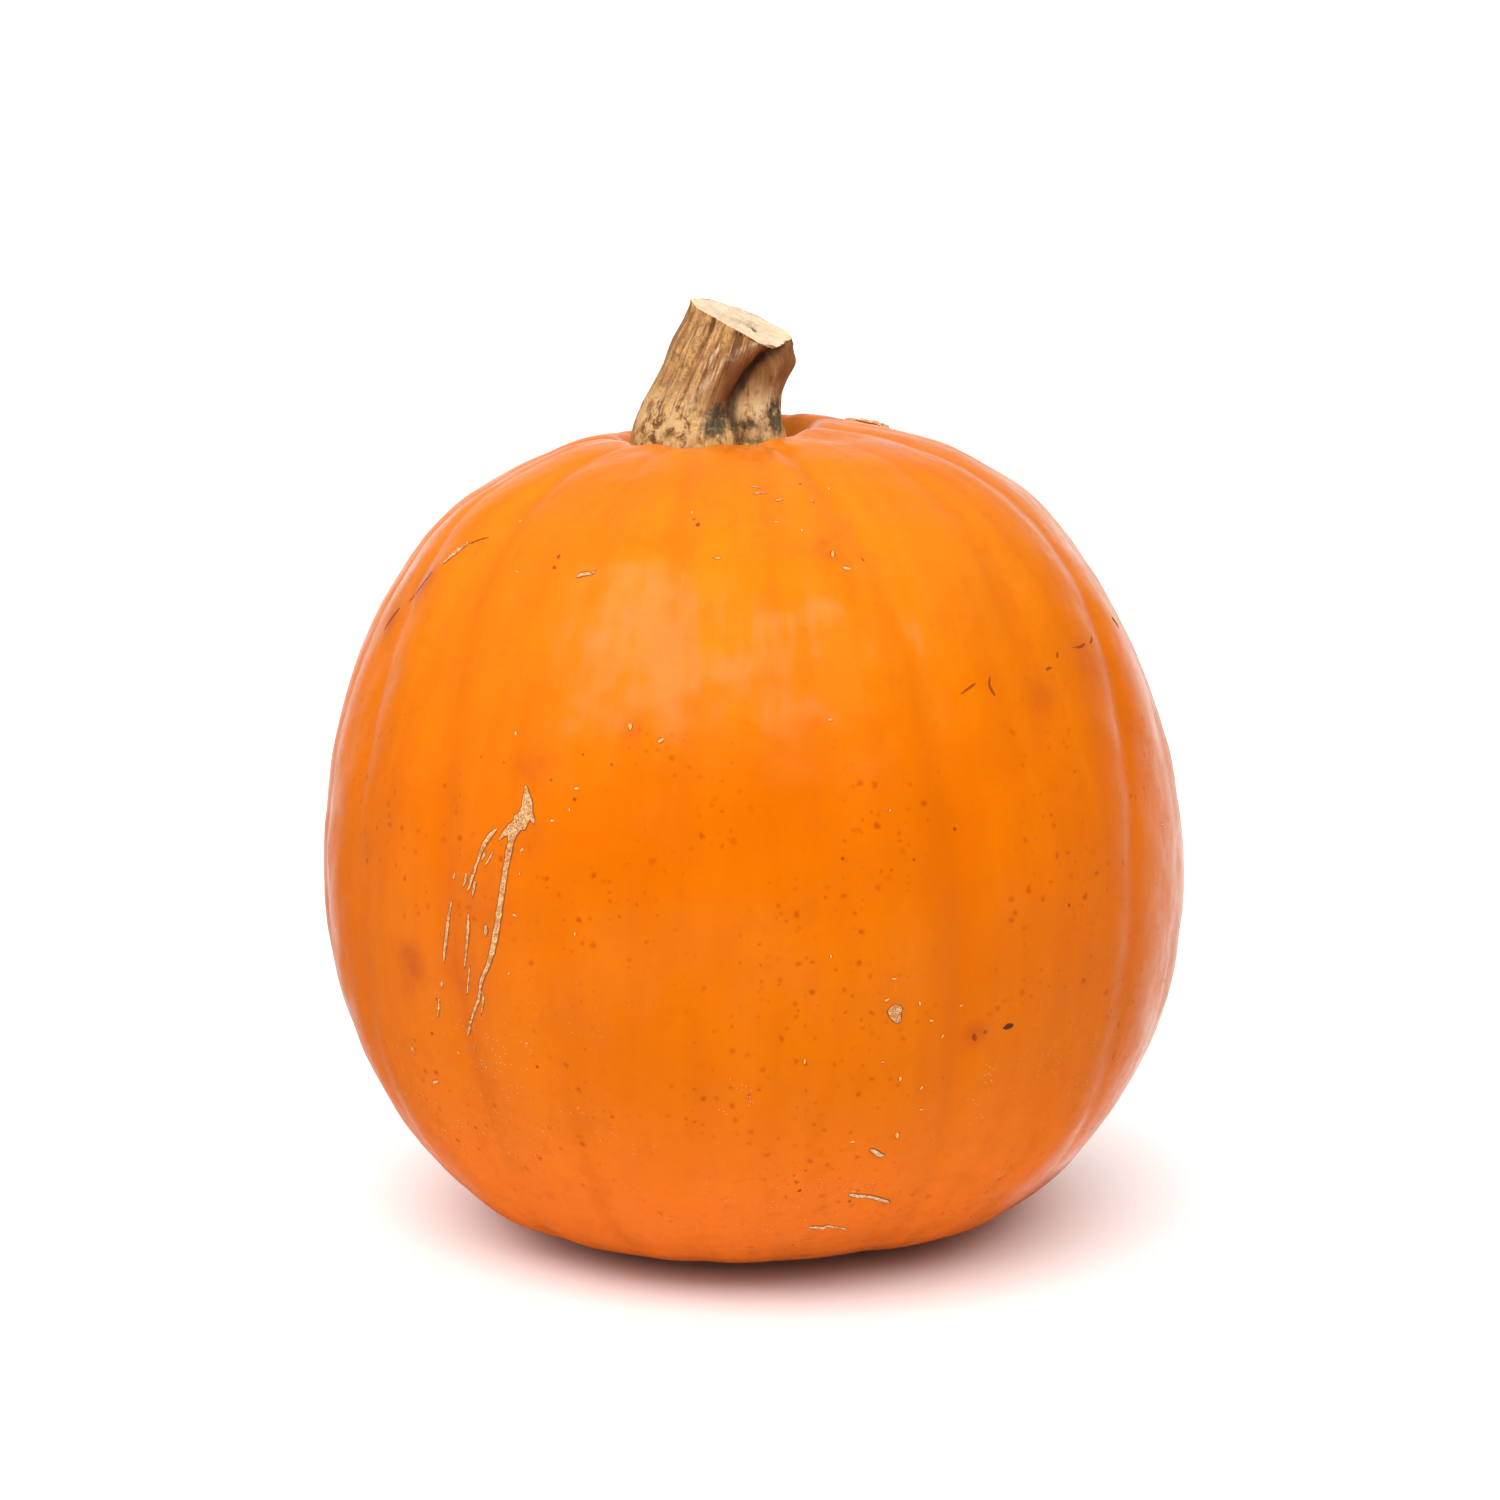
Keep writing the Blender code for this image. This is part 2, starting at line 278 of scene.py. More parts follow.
class Wire:
    """A node's output that takes part in Python expressions, each adding the nodes it needs."""

    def __init__(self, socket):
        self.socket = socket

    def node(self, kind, settings, sockets, output=0):
        """One output of a new node, whose settings are set before its sockets are set or linked."""
        made = self.socket.id_data.nodes.new(kind)
        for name, value in settings.items():
            setattr(made, name, value)
        for name, value in sockets.items():
            if isinstance(value, Wire):
                self.socket.id_data.links.new(value.socket, made.inputs[name])
            else:
                made.inputs[name].default_value = value
        return Wire(made.outputs[output])

    def math(self, operation, first, second):
        """One operation on two numbers, or on two vectors where either is a vector."""
        sides = [side.socket.type for side in (first, second) if isinstance(side, Wire)]
        kind = "ShaderNodeVectorMath" if "VECTOR" in sides else "ShaderNodeMath"
        return self.node(kind, {"operation": operation}, {0: first, 1: second})

    def __add__(self, other):
        return self.math("ADD", self, other)

    def __sub__(self, other):
        return self.math("SUBTRACT", self, other)

    def __mul__(self, other):
        return self.math("MULTIPLY", self, other)

    def __rsub__(self, other):
        return self.math("SUBTRACT", other, self)

    __radd__, __rmul__ = __add__, __mul__

    def scaled(self, size):
        """A vector made larger or smaller, by one number or by one for each axis."""
        sizes = size if isinstance(size, tuple) else (size,) * 3
        return self.node("ShaderNodeVectorMath", {"operation": "MULTIPLY"}, {0: self, 1: sizes})

    def step(self, low, high):
        """0 below low and 1 above high, with a soft step between; it falls where low is above high."""
        return self.node("ShaderNodeMapRange", {"interpolation_type": "SMOOTHSTEP"},
                         {"Value": self, "From Min": low, "From Max": high})

    def paint(self, below, above):
        """The colour below where this is 0 and the colour above where it is 1."""
        settings = {"data_type": "RGBA", "clamp_factor": True}
        colours = {key: colour if isinstance(colour, Wire) else (*colour, 1.0)
                   for key, colour in ((6, below), (7, above))}
        return self.node("ShaderNodeMix", settings, {0: self, **colours}, 2)

    def noise(self, size, detail=3.0, rough=0.55):
        """Cloudy noise from 0 to 1 at these places, with patches about a size across."""
        return self.node("ShaderNodeTexNoise", {}, {"Vector": self, "Scale": 1 / size,
                                                    "Detail": detail, "Roughness": rough})

    def cells(self, size, output="Distance"):
        """The distance to the nearest of scattered points about a size apart, or its colour."""
        return self.node("ShaderNodeTexVoronoi", {}, {"Vector": self, "Scale": 1 / size}, output)

    def part(self, name):
        """One number of a colour, by its name, or of a vector, by its axis."""
        kind = "ShaderNodeSeparateXYZ" if name in "XYZ" else "ShaderNodeSeparateColor"
        return self.node(kind, {}, {0: self}, name)

    def fact(self, name, output="Fac"):
        """A value that the mesh carries at each of its points."""
        return self.node("ShaderNodeAttribute", {"attribute_name": name}, {}, output)


def new_finish(name, settings):
    """A material whose shader has these plain settings, with its shader and its object's places."""
    material = bpy.data.materials.new(name)
    material.use_nodes = True
    shader = material.node_tree.nodes["Principled BSDF"]
    for socket, value in settings.items():
        shader.inputs[socket].default_value = value
    place = Wire(shader.outputs[0]).node("ShaderNodeTexCoord", {}, {}, "Object")
    return material, shader, place


def plug(shader, sockets):
    """Link wires to the sockets of a shader."""
    for name, wire in sockets.items():
        shader.id_data.links.new(wire.socket, shader.inputs[name])


# Colours of the rind, in pairs where it is mottled from one to the other
# The upper orange is lighter and yellower than the lower: painted light from above
TOP_ORANGE_PAINTED_LIGHT = (0.595, 0.138, 0.0), (0.64, 0.162, 0.0)
LOWER_ORANGE = (0.555, 0.108, 0.0), (0.61, 0.13, 0.0)
# Painted light: the foot orange is lighter, standing in for light thrown up by the floor
FOOT_PAINTED_FLOOR_LIGHT = (0.83, 0.17, 0.012)
# Painted shade: the underside is darker where the fruit stands on the floor
PAINTED_CONTACT_SHADE = (0.42, 0.11, 0.02)
CLOUDED_ORANGE = (0.5, 0.085, 0.0)
CREASED_ORANGE = (0.54, 0.094, 0.0)
STIPPLED_ORANGE = (0.53, 0.094, 0.0)
FRECKLE = (0.36, 0.04, 0.0)
SPECK = (0.2, 0.03, 0.004)
SMUDGE = (0.33, 0.036, 0.01)
DUST = (0.86, 0.46, 0.24)
CORK = (0.55, 0.255, 0.105), (0.78, 0.46, 0.23)
# Painted light: cork low on the fruit is paler, standing in for light thrown up by the floor
CORK_PAINTED_FLOOR_LIGHT = (0.95, 0.74, 0.48)
YOUNG_CORK = (0.98, 0.4, 0.115)
CORK_PORE = (0.15, 0.06, 0.022)
RED_SCAR = (0.3, 0.045, 0.01)
DARK_SCAR = (0.075, 0.022, 0.008)
SCAR_OUTLINE = (0.19, 0.036, 0.007)


def ripe_orange(place, upright, height, medium, fine):
    """Orange, mottled in broad patches and faint upright streaks, and redder in the creases. It is
    painted lighter and yellower at the top as painted light from above, lighter at the foot as painted
    light from the floor, and darker at the very bottom as painted shade where it stands.
    """
    mottle = 0.45 * place.noise(50 * MM, 2.0) + 0.25 * medium + 0.30 * upright.noise(7 * MM)
    lower, upper = (mottle.step(0.38, 0.62).paint(*pair) for pair in (LOWER_ORANGE, TOP_ORANGE_PAINTED_LIGHT))
    # Painted light from above: the upper orange blends in towards the top
    colour = height.step(105 * MM, 165 * MM).paint(lower, upper)
    # Painted light from the floor on the lower rind
    colour = height.step(64 * MM, 8 * MM).paint(colour, FOOT_PAINTED_FLOOR_LIGHT)
    # Painted shade on the very bottom, where the fruit stands on the floor
    colour = height.step(3 * MM, 0.5 * MM).paint(colour, PAINTED_CONTACT_SHADE)
    clouded = (0.5 * upright.noise(11 * MM) + 0.5 * place.noise(7 * MM)).step(0.48, 0.66)
    colour = (clouded * 0.30).paint(colour, CLOUDED_ORANGE)
    creased = place.fact("crease") * (0.15 + 0.30 * medium) * height.step(10 * MM, 80 * MM)
    colour = creased.paint(colour, CREASED_ORANGE)
    return (fine.step(0.50, 0.85) * 0.35).paint(colour, STIPPLED_ORANGE)


def freckled(colour, place, height):
    """A colour with two sizes of uneven freckles in loose patches, and a few dark round specks."""
    peppered = place.noise(30 * MM, 2.0).step(0.43, 0.56) * height.step(150 * MM, 110 * MM)
    peppered = peppered * height.step(-10 * MM, 45 * MM)
    jitter = place.node("ShaderNodeTexNoise", {}, {"Vector": place, "Scale": 1 / (2 * MM)}, "Color")
    nudged = place + jitter.scaled(1.6 * MM)
    for size, share in ((3.2 * MM, 0.75), (1.9 * MM, 0.65)):
        chosen = nudged.cells(size, "Color").part("Red").step(0.48, 0.92)
        freckle = nudged.cells(size).step(0.32, 0.06) * chosen * peppered
        colour = (freckle * share).paint(colour, FRECKLE)
    chosen = place.cells(11 * MM, "Color").part("Red").step(0.50, 0.52)
    speck = place.cells(11 * MM).step(0.050, 0.028) * chosen
    return (speck * 0.75).paint(colour, SPECK)


def smudged_and_dusted(colour, place, height, medium, fine):
    """A colour with reddish smudges where the rind was knocked, and pale dust low down."""
    smudged = place.fact("bruise") * (0.45 + 0.75 * (medium + 0.4 * fine).step(0.45, 0.85))
    colour = smudged.paint(colour, SMUDGE)
    dusty = place.noise(24 * MM, 2.0).step(0.45, 0.57) * height.step(90 * MM, 40 * MM)
    mote = place.cells(0.8 * MM).step(0.24, 0.10) * place.noise(4 * MM, 2.0).step(0.50, 0.59)
    return (mote * dusty * 0.70).paint(colour, DUST)


def cork_colour(place, height, cork, pores):
    """Porous tan cork. It is painted paler low down as painted light from the floor, orange in young
    spots, and red to black in dark ones.
    """
    dark = place.fact("dark")
    colour = place.noise(1.1 * MM).step(0.40, 0.60).paint(*CORK)
    # Painted light from the floor: cork is paler low down
    painted_floor_light = height.step(64 * MM, 8 * MM) * height.step(3 * MM, 6 * MM)
    colour = (painted_floor_light * 0.8).paint(colour, CORK_PAINTED_FLOOR_LIGHT)
    young = dark.step(-0.1, -0.5) * dark.step(-1.0, -0.6)
    colour = (young * 0.75).paint(colour, YOUNG_CORK)
    pitted = cork.step(1.02, 1.25) * pores * dark.step(-1.0, 0.0)
    colour = (pitted * 0.85).paint(colour, CORK_PORE)
    colour = dark.step(0.0, 0.6).paint(colour, RED_SCAR)
    return dark.step(0.6, 1.0).paint(colour, DARK_SCAR)


def rind_finish():
    """Ripe orange rind with freckles, smudges, dust and patchy wax, and cork where it is scarred."""
    settings = {"Specular IOR Level": 0.26, "Specular Tint": (1.0, 0.66, 0.08, 1.0),
                "Coat Roughness": 0.17}
    material, shader, place = new_finish("rind", settings)
    height = place.part("Z")
    flat = place.scaled((1.0, 1.0, 0.0))
    outward = flat.node("ShaderNodeVectorMath", {"operation": "NORMALIZE"}, {0: flat})
    upright = outward.scaled(half_width) + place.scaled((0.0, 0.0, 0.14))
    medium, fine = place.noise(14 * MM), place.noise(2.4 * MM)

    cork = place.fact("cork")
    pores = place.noise(0.24 * MM, 2.0, 0.6).step(0.50, 0.43)
    edge = cork + 0.42 * (place.noise(0.6 * MM, 3.0, 0.7) - 0.5)
    bare, scarred = edge.step(0.64, 0.76), edge.step(0.93, 1.00)
    colour = freckled(ripe_orange(place, upright, height, medium, fine), place, height)
    colour = smudged_and_dusted(colour, place, height, medium, fine)
    colour = scarred.paint(colour, cork_colour(place, height, cork, pores))
    colour = (bare * edge.step(1.08, 1.00) * 0.80).paint(colour, SCAR_OUTLINE)

    waxy = (0.7 * place.noise(24 * MM, 3.0, 0.6) + 0.3 * upright.noise(4 * MM)).step(0.44, 0.60)
    wax = (0.03 + 0.34 * waxy) * (1 - bare)
    roughness = 0.31 + 0.06 * fine.step(0.4, 0.7) + bare * 0.55
    swells = place.noise(6.5 * MM, 2.0) * 1.5 + fine * 0.25 + place.noise(0.8 * MM, 2.0) * 0.10
    cork_relief = place.noise(0.5 * MM, 4.0, 0.8) - pores * 0.6
    relief = swells * (1 - scarred) + cork_relief * scarred
    bump = place.node("ShaderNodeBump", {}, {"Height": relief, "Distance": 0.16 * MM, "Strength": 0.6})
    plug(shader, {"Base Color": colour, "Roughness": roughness, "Normal": bump, "Coat Weight": wax})
    return material


# Reddish smudges: azimuth in degrees, height, size and strength
BRUISES = [
    (-43, 75 * MM, 4.0 * MM, 0.75), (-44, 70 * MM, 2.5 * MM, 0.5), (-23, 121 * MM, 4.5 * MM, 0.35),
    (-23, 106 * MM, 5.0 * MM, 0.20), (-29, 90 * MM, 9.0 * MM, 0.22), (-33, 76 * MM, 8.0 * MM, 0.26),
    (-58, 153 * MM, 5.0 * MM, 0.45), (-66, 144 * MM, 4.0 * MM, 0.5), (19, 164 * MM, 4.0 * MM, 0.45),
    (31, 64.5 * MM, 2.6 * MM, 0.6), (-10, 129 * MM, 2.5 * MM, 0.35), (57, 137 * MM, 7.0 * MM, 0.30),
    (45, 133 * MM, 5.0 * MM, 0.25), (140, 95 * MM, 6.0 * MM, 0.4), (-120, 120 * MM, 5.0 * MM, 0.4),
]
rising = slice(np.argmax(outline_height > 0.3 * MM), np.argmax(outline_height))


def way_up(height):
    """The way along the outline to a height on the fruit's side."""
    return np.interp(height, outline_height[rising], steps[rising])


def rind_facts(azimuth, along, points):
    """What the rind's finish needs to know at each point: creases and bruises."""
    height = np.interp(along, steps, outline_height)
    crease = groove_depth(azimuth, height)[1] * np.clip((height - 1 * MM) / (8 * MM), 0, 1)
    bruise = np.zeros(crease.shape)
    for degrees, level, size, strength in BRUISES:
        middle = skin(np.radians([degrees]), way_up([level]))[0]
        away = np.linalg.norm(points - middle, axis=-1)
        bruise = np.maximum(bruise, strength * mound(away, 0, size))
    return crease, bruise


BLOSSOM_RADIUS = 6 * MM
BLOSSOM_DEPTH = 1.4 * MM
azimuths = np.linspace(-math.pi, math.pi, RIND_COLUMNS, endpoint=False)[None, :]
ways = np.linspace(0.004 * steps[-1], 0.996 * steps[-1], RIND_RINGS)[:, None]
rind_points = skin(azimuths, ways)
from_blossom = np.linalg.norm(rind_points[..., :2] - BOTTOM_AXIS, axis=-1)
dent = np.exp(-((from_blossom / BLOSSOM_RADIUS) ** 4)) * (rind_points[..., 2] < 5 * MM)
rind_points[..., 2] += BLOSSOM_DEPTH * dent * (1 + 0.2 * ripple(rind_points, 3 * MM, 4))
creases, bruises = rind_facts(azimuths, ways, rind_points)
rind = add_tube("rind", [rind_points], {"crease": [creases], "bruise": [bruises], "cork": [1.6 * dent]},
                [((0.0, 0.0), (1.0, 1.0))])
rind_look = rind_finish()
rind.data.materials.append(rind_look)
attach(rind, "root")
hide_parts("fruit")

# ------------------------------------------------------------------------------
# Scars. Pale, porous cork that grew over old rubs and insect bites, standing a little proud of
# the rind with a brown line round each patch, and a few spots and scratches that turned dark.
# ------------------------------------------------------------------------------
# Each line: its points as (azimuth in degrees, height in millimetres, half width in millimetres)
RUB_SCAR = [
    [(-23.8, 117.0, 0.15), (-23.5, 115.1, 0.75), (-23.3, 112.3, 1.55), (-23.8, 110.3, 1.65),
     (-25.0, 107.8, 1.3), (-25.3, 105.0, 0.75), (-25.7, 101.3, 0.6), (-26.2, 96.5, 0.6),
     (-26.9, 89.6, 0.6), (-27.7, 83.9, 0.65), (-28.7, 79.4, 0.45), (-30.2, 75.0, 0.35),
     (-31.0, 71.0, 0.3), (-33.2, 64.9, 0.25), (-34.5, 61.0, 0.2)],
    [(-23.2, 112.6, 0.4), (-22.6, 111.0, 0.5), (-22.0, 109.3, 0.15)],
    [(-24.8, 109.6, 0.5), (-25.9, 107.5, 0.6), (-26.7, 106.2, 0.3), (-27.2, 105.0, 0.1)],
    [(-30.8, 73.0, 0.15), (-30.1, 71.5, 0.2), (-31.0, 67.0, 0.15)],
    [(-33.5, 64.0, 0.15), (-33.8, 63.0, 0.35), (-34.4, 61.4, 0.2)],
    [(-27.3, 108.0, 0.1), (-28.5, 106.0, 0.45), (-29.5, 103.6, 0.4), (-30.2, 100.7, 0.25),
     (-30.8, 98.2, 0.3), (-31.4, 95.7, 0.3), (-31.9, 93.6, 0.15)],
    [(-28.9, 103.2, 0.1), (-29.3, 101.9, 0.2), (-29.7, 100.3, 0.1)],
    [(-27.7, 103.5, 0.15), (-28.3, 101.6, 0.2), (-29.2, 99.4, 0.15)],
    [(-30.5, 96.5, 0.15), (-30.7, 95.4, 0.3), (-31.1, 92.4, 0.2)],
    [(-32.1, 98.0, 0.1), (-32.2, 96.5, 0.3), (-32.7, 94.2, 0.15)],
    [(-34.2, 97.5, 0.15), (-34.4, 96.5, 0.2), (-34.7, 95.3, 0.1)],
    [(-34.8, 91.2, 0.15), (-35.7, 87.9, 0.3), (-36.2, 83.5, 0.35), (-36.5, 80.6, 0.3),
     (-36.9, 76.6, 0.1)],
    [(-37.4, 73.0, 0.1), (-37.5, 72.1, 0.2), (-37.5, 71.2, 0.1)],
    [(-38.1, 69.5, 0.1), (-38.5, 66.7, 0.2), (-39.1, 64.0, 0.15)],
    [(-31.8, 89.5, 0.1), (-31.9, 86.6, 0.35), (-32.4, 81.9, 0.3), (-33.1, 76.5, 0.1)],
    [(-31.9, 78.3, 0.1), (-32.5, 74.7, 0.2), (-33.1, 70.9, 0.15)],
    [(-28.8, 88.0, 0.15), (-28.9, 86.3, 0.4), (-28.9, 84.8, 0.15)],
    [(-33.3, 60.5, 0.1), (-33.4, 59.0, 0.15), (-33.4, 57.7, 0.1)],
    [(-31.8, 56.4, 0.1), (-31.8, 55.4, 0.15), (-31.7, 54.3, 0.1)],
    [(-45.8, 56.5, 0.1), (-45.5, 55.0, 0.15), (-45.1, 53.5, 0.1)],
]
CORK_LINES = [
    [(-49.8, 162.3, 0.25), (-51.2, 161.0, 0.55), (-53.0, 159.2, 0.60), (-54.5, 157.4, 0.35)],
    [(18.6, 40.8, 0.35), (19.4, 40.0, 0.45), (20.1, 39.0, 0.45), (20.9, 38.8, 0.4)],
    [(17.1, 29.0, 0.35), (18.5, 28.3, 0.45), (20.6, 27.5, 0.35), (22.2, 26.3, 0.4), (23.9, 25.0, 0.3)],
    [(12.4, 19.5, 0.2), (13.8, 19.3, 0.4), (14.9, 19.0, 0.4), (15.7, 19.6, 0.25), (19.5, 17.5, 0.15)],
    [(-21.4, 158.0, 0.2), (-20.2, 158.8, 0.35), (-18.9, 159.1, 0.2), (-18.1, 159.9, 0.15)],
    [(8.4, 175.7, 0.15), (10.0, 175.5, 0.2), (11.5, 175.3, 0.15)],
    [(8.9, 174.2, 0.15), (10.5, 174.6, 0.2), (12.2, 174.6, 0.15)],
    [(13.2, 173.5, 0.2), (14.0, 173.7, 0.3), (14.9, 173.6, 0.2)],
    [(20.4, 173.8, 0.15), (20.6, 173.5, 0.2), (20.8, 173.2, 0.15)],
    [(0.5, 163.3, 0.1), (1.3, 163.0, 0.15), (2.2, 163.0, 0.1)],
    [(20.2, 73.4, 0.8), (20.3, 72.5, 1.5), (20.3, 71.5, 1.4), (20.7, 70.0, 0.7), (20.9, 69.3, 0.3)],
    [(118.0, 88.0, 0.2), (118.6, 82.0, 0.6), (119.5, 74.0, 0.5), (121.0, 66.0, 0.2)],
    [(-128.0, 132.0, 0.2), (-126.0, 130.0, 0.5), (-123.0, 129.0, 0.2)],
    [(170.0, 60.0, 0.2), (171.0, 52.0, 0.5), (170.5, 46.0, 0.2)],
]
DARK_LINES = [
    [(-45.0, 164.0, 0.05), (-47.0, 163.2, 0.15), (-49.5, 162.0, 0.20)],
    [(32.0, 134.9, 0.04), (33.6, 136.0, 0.07), (35.3, 137.2, 0.04)],
    [(-57.0, 155.5, 0.2), (-60.0, 151.0, 0.3), (-62.0, 148.5, 0.15)],
    [(-64.5, 147.0, 0.2), (-66.0, 144.5, 0.35), (-67.5, 141.0, 0.15)],
    [(47.1, 137.5, 0.05), (47.9, 137.9, 0.16), (48.8, 137.9, 0.08)],
    [(50.1, 139.4, 0.08), (50.6, 140.1, 0.15), (50.9, 140.9, 0.05)],
    [(54.0, 141.0, 0.05), (56.3, 140.7, 0.18), (58.0, 141.1, 0.08)],
    [(59.0, 140.8, 0.10), (60.0, 141.3, 0.16), (60.8, 142.2, 0.05)],
    [(37.8, 138.6, 0.05), (37.0, 136.6, 0.12), (37.2, 135.0, 0.18), (37.6, 133.8, 0.06)],
    [(70.0, 144.0, 0.2), (70.8, 142.8, 0.5), (71.4, 141.2, 0.2)],
    [(74.0, 126.0, 0.1), (74.6, 122.0, 0.3), (75.4, 118.0, 0.1)],
]
WART = [(112.0, 179.6, 1.6), (117.0, 180.0, 3.0), (122.0, 180.0, 3.2), (127.0, 179.6, 1.6)]
# Small scars: (azimuth in degrees, height and half width in millimetres)
CORK_SPOTS = [
    (-16.7, 117.3, 0.40), (-17.5, 113.0, 0.30), (-19.7, 110.5, 0.35), (-23.7, 104.0, 0.35),
    (-23.9, 99.2, 0.25), (-24.6, 90.5, 0.35), (-16.6, 88.0, 0.30), (-25.8, 77.9, 0.30),
    (-24.3, 62.8, 0.30), (-36.7, 56.6, 0.30), (-42.7, 48.0, 0.70), (19.3, 74.6, 0.40),
    (23.3, 73.2, 0.35), (24.9, 69.1, 0.40), (26.6, 65.1, 0.35), (9.9, 62.0, 0.40),
    (19.1, 61.1, 0.30), (21.4, 56.9, 0.40), (24.3, 54.0, 0.40), (24.6, 49.0, 0.35),
    (22.0, 43.4, 0.60), (16.3, 42.9, 0.40), (29.0, 71.1, 0.30), (12.9, 84.5, 0.30),
    (20.1, 79.1, 0.40), (20.5, 113.5, 0.25), (19.5, 163.4, 0.55), (20.9, 160.6, 0.60),
    (-10.2, 130.0, 0.50), (-6.3, 127.6, 0.50), (14.6, 131.7, 0.35), (-26.3, 127.0, 0.35),
    (-33.4, 158.2, 0.30), (-41.0, 168.3, 0.30), (15.9, 168.1, 0.30), (12.1, 169.8, 0.30),
    (-3.1, 171.5, 0.30), (25.8, 175.4, 0.25), (66.0, 100.0, 0.40), (71.0, 62.0, 0.35),
    (-71.0, 84.0, 0.40), (-96.0, 70.0, 0.50), (-140.0, 55.0, 0.60), (95.0, 120.0, 0.40),
    (150.0, 110.0, 0.50), (133.0, 60.0, 0.45), (-160.0, 96.0, 0.45), (-112.0, 150.0, 0.50),
]
DARK_SPOTS = [
    (35.2, 65.4, 0.80), (30.9, 63.8, 0.50), (32.2, 64.8, 0.30), (10.2, 31.0, 0.35), (11.0, 12.9, 0.25),
    (41.6, 15.4, 0.25), (-1.8, 169.2, 0.45), (-25.6, 161.5, 0.35), (-25.7, 159.4, 0.35),
    (-16.1, 123.9, 0.25), (-12.3, 122.4, 0.20), (-20.2, 118.5, 0.20), (24.2, 162.4, 0.30),
    (-44.5, 57.5, 0.20), (-27.5, 121.0, 0.15), (-48.0, 104.0, 0.20), (-31.5, 121.5, 0.20),
    (100.0, 84.0, 0.60), (-88.0, 132.0, 0.50), (160.0, 140.0, 0.60), (-150.0, 130.0, 0.50),
]
# A strip of scar reaches past its cork by a skirt, which hides its edge just under the skin
SCAR_SKIRT = 0.45 * MM
SCAR_SIDES = 20
SCAR_STEP = 0.35 * MM
HEAP_SLOPE = 0.9 * MM
CRUMB_HEIGHT = 0.08 * MM
FULL_HALF_WIDTH = 0.35 * MM


def surface_spot(azimuth, along, aside, ahead):
    """Azimuth and way up of a place moved over the skin by distances to the right and upwards."""
    near, nudge = skin(azimuth, along), 0.001
    right = np.linalg.norm(skin(azimuth + nudge, along) - near, axis=-1) / nudge
    return azimuth + aside / right, along + ahead


def line_path(line):
    """The azimuths, ways up and half widths of a scar's points."""
    degrees, heights, halves = np.array(line, float).T
    return np.stack([np.radians(degrees), way_up(heights * MM), halves * MM], axis=1)


def spot_paths(spots):
    """A short path over each small scar, most of them rising to the right, some steeply."""
    paths = []
    for number, spot in enumerate(spots):
        (azimuth, along, half), = line_path([spot])
        lean = math.radians(45 + 60 * math.sin(2.3 * number - 0.6))
        reach = np.array([-1.9, 0.0, 1.9]) * half
        azimuths, alongs = surface_spot(
            np.full(3, azimuth), np.full(3, along), reach * math.cos(lean), reach * math.sin(lean))
        paths.append(np.stack([azimuths, alongs, half * np.array([0.25, 0.60, 0.35])], axis=1))
    return paths


def scar_width(path, seed):
    """The half width of a strip, skirt included, along a path: it wanders, and closes at its ends."""
    wander = ripple(path * [half_width, 1, 1], 1.2 * MM, seed + 40)
    width = np.maximum(path[:, 2] * (1 + 0.12 * wander) + 0.04 * MM, 0.05 * MM)
    from_end = np.minimum(np.arange(len(path)), np.arange(len(path))[::-1])
    return (width + SCAR_SKIRT * np.sqrt(np.clip(from_end / 3, 0, 1)))[:, None]


def scar_tube(path, lift, seed):
    """A grid of points round a strip laid on the skin, with its azimuths, ways up and cork."""
    gaps = np.hypot(*(np.diff(path[:, :2], axis=0) * [half_width, 1]).T)
    path = through(path, max(int(gaps.sum() / SCAR_STEP), 12))
    tangent = np.gradient(path[:, :2] * [half_width, 1], axis=0)
    tangent /= np.linalg.norm(tangent, axis=1)[:, None]
    width = scar_width(path, seed)
    turn = np.linspace(0, math.tau, SCAR_SIDES, endpoint=False)[None, :]
    across, top = -np.cos(turn) * width, np.sin(turn)
    aside, ahead = across * tangent[:, 1:], -across * tangent[:, :1]
    azimuth, along = surface_spot(path[:, 0:1], path[:, 1:2], aside, ahead)
    inset = width - SCAR_SKIRT - np.abs(across)
    heap = np.clip((inset + 0.95 * SCAR_SKIRT) / HEAP_SLOPE, 0, 1)
    heap = heap**2 * (3 - 2 * heap)
    crumbs = 1 + min(0.30, CRUMB_HEIGHT / lift) * ripple(skin(azimuth, along), 1.4 * MM, seed + 60)
    proud = np.where(top > 0, lift * heap * crumbs, 0.4 * MM * top) - 0.02 * MM
    keen = np.clip(FULL_HALF_WIDTH / path[:, 2:], 1, 2)
    return skin(azimuth, along, proud), azimuth, along, 1 + keen * inset / MM


def add_scars(name, paths, lift, dark, rows):
    """A piece made of the scars along some paths, laid out in rows on its flat map.

    Dark is one number, or one for each scar: 0 for tan cork, 0.6 for red and 1 for black, -0.5 for
    a young orange scar and -1 for cork with no pores.
    """
    tubes = [scar_tube(path, lift, seed) for seed, path in enumerate(paths)]
    across = math.ceil(len(tubes) / rows)
    patches = [((number % across / across, number // across / rows), (0.96 / across, 0.94 / rows))
               for number in range(len(tubes))]
    known = [rind_facts(azimuth, along, points) for points, azimuth, along, _ in tubes]
    shades = np.broadcast_to(dark, len(tubes))
    facts = {"crease": [creased for creased, _ in known], "bruise": [bruised for _, bruised in known],
             "cork": [cork for *_, cork in tubes],
             "dark": [np.full(tube[3].shape, shade) for tube, shade in zip(tubes, shades)]}
    scars = add_tube(name, [tube[0] for tube in tubes], facts, patches)
    scars.data.materials.append(rind_look)
    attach(scars, "root")
    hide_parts("fruit")


